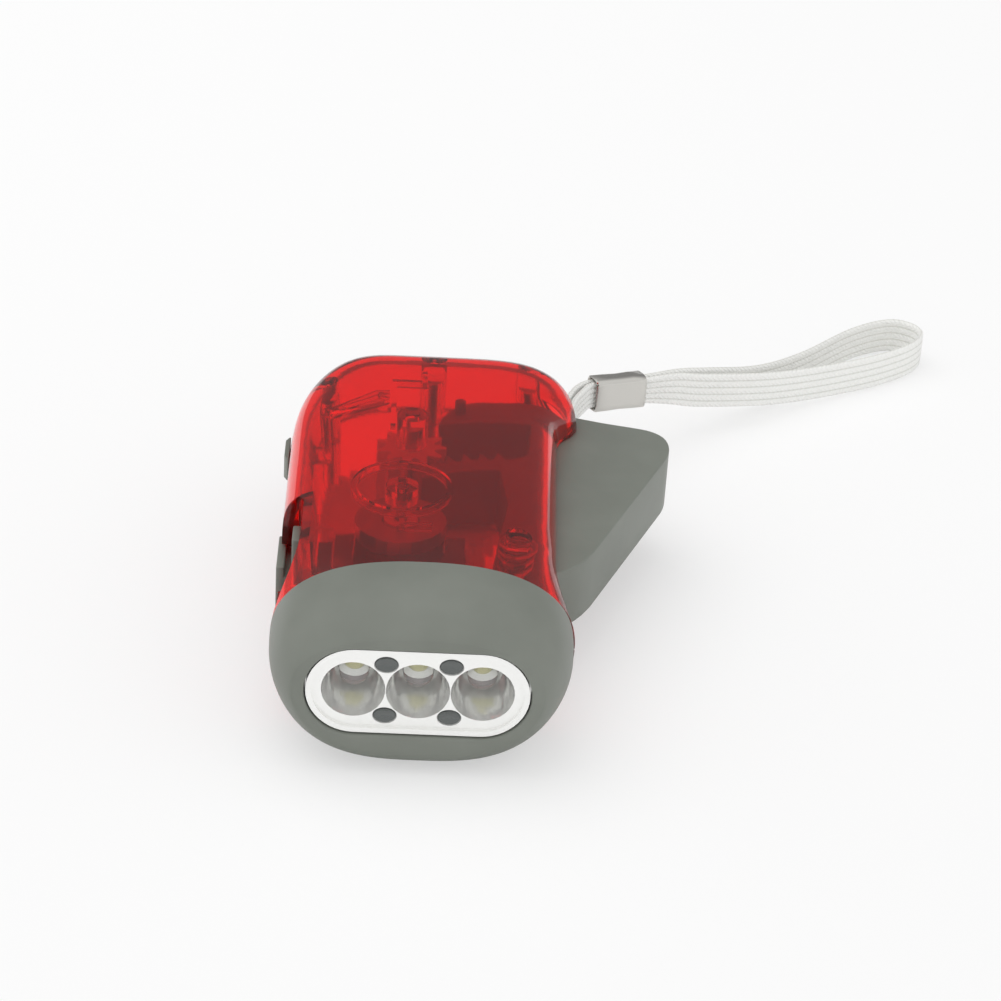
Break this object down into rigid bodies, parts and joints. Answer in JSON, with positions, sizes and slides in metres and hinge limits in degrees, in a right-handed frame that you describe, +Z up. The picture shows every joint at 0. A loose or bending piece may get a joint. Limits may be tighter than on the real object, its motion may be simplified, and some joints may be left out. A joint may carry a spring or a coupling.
{
  "type": "hand-press dynamo flashlight",
  "caption": "Squeeze-powered flashlight in a rounded clear red case with a grey head, side press lever, slide switch, lever lock and wrist strap.",
  "frame": {"origin": "Middle of the flat face under the case, halfway along its length.", "axes": "+X towards the press lever's side, +Y from the light to the tail, +Z up."},
  "size_m": [0.1295, 0.161, 0.0316],
  "materials": {
    "red_plastic": "clear red moulded plastic",
    "grey_plastic": "satin moulded plastic",
    "mirror_finish": "vacuum metallised",
    "clear_resin": "clear cast resin",
    "board": "green circuit board",
    "steel": "plain steel",
    "white_plastic": "natural moulded gear plastic",
    "magnet": "sintered ferrite",
    "black_plastic": "moulded plastic",
    "copper": "enamelled wire",
    "white_strap": "woven",
    "polished_metal": "polished plated steel"
  },
  "bodies": {
    "case": {"top_shell": "red_plastic", "bottom_shell": "red_plastic", "head_bezel": "grey_plastic", "reflector": "mirror_finish", "led_left": "clear_resin", "led_centre": "clear_resin", "led_right": "clear_resin", "led_board": "board", "lever_pivot_pin": "steel", "lever_spring": "steel", "first_gear_axle": "steel", "rotor_axle": "steel", "stator_core": "steel", "coil_bobbin": "black_plastic", "coil_winding": "copper", "slide_switch_body": "black_plastic", "battery_cell_1": "steel", "battery_cell_2": "steel", "battery_link": "steel", "charge_board": "board", "storage_capacitor": "black_plastic", "rectifier": "black_plastic", "case_screw_1": "steel", "case_screw_2": "steel", "case_screw_3": "steel", "lanyard_strap": "white_strap", "lanyard_crimp": "polished_metal"},
    "lever": {"press_lever": "grey_plastic"},
    "gear": {"first_gear": "white_plastic"},
    "rotor": {"rotor_pinion": "white_plastic", "rotor_magnet": "magnet", "flywheel": "steel"},
    "switch": {"light_switch_slider": "grey_plastic"},
    "lock": {"lever_lock_slider": "grey_plastic"}
  },
  "joints": [
    {"name": "lever_press", "type": "hinge", "parent": "case", "child": "lever", "pos_m": [0.0158, -0.01885, 0.01615], "axis": [0, 0, 1], "range_deg": [0, 20], "stiffness_Nm_per_rad": 0.3, "springref_deg": -20.05, "deforming": ["lever_spring"]},
    {"name": "gear_spin", "type": "hinge", "parent": "case", "child": "gear", "pos_m": [-0.0025, 0.02061, 0.014], "axis": [0, 0, 1], "range_deg": [-140, 1]},
    {"name": "rotor_spin", "type": "hinge", "parent": "case", "child": "rotor", "pos_m": [-0.0039, -0.00485, 0.014], "axis": [0, 0, 1], "range_deg": [-1, 280]},
    {"name": "light_switch", "type": "slide", "parent": "case", "child": "switch", "axis": [0, -1, 0], "range_m": [0, 0.003]},
    {"name": "lever_lock", "type": "slide", "parent": "case", "child": "lock", "axis": [0, -1, 0], "range_m": [0, 0.004]}
  ],
  "couplings": [
    {"joint": "gear_spin", "follows": "lever_press", "ratio": -6.9091},
    {"joint": "rotor_spin", "follows": "lever_press", "ratio": 13.818}
  ]
}
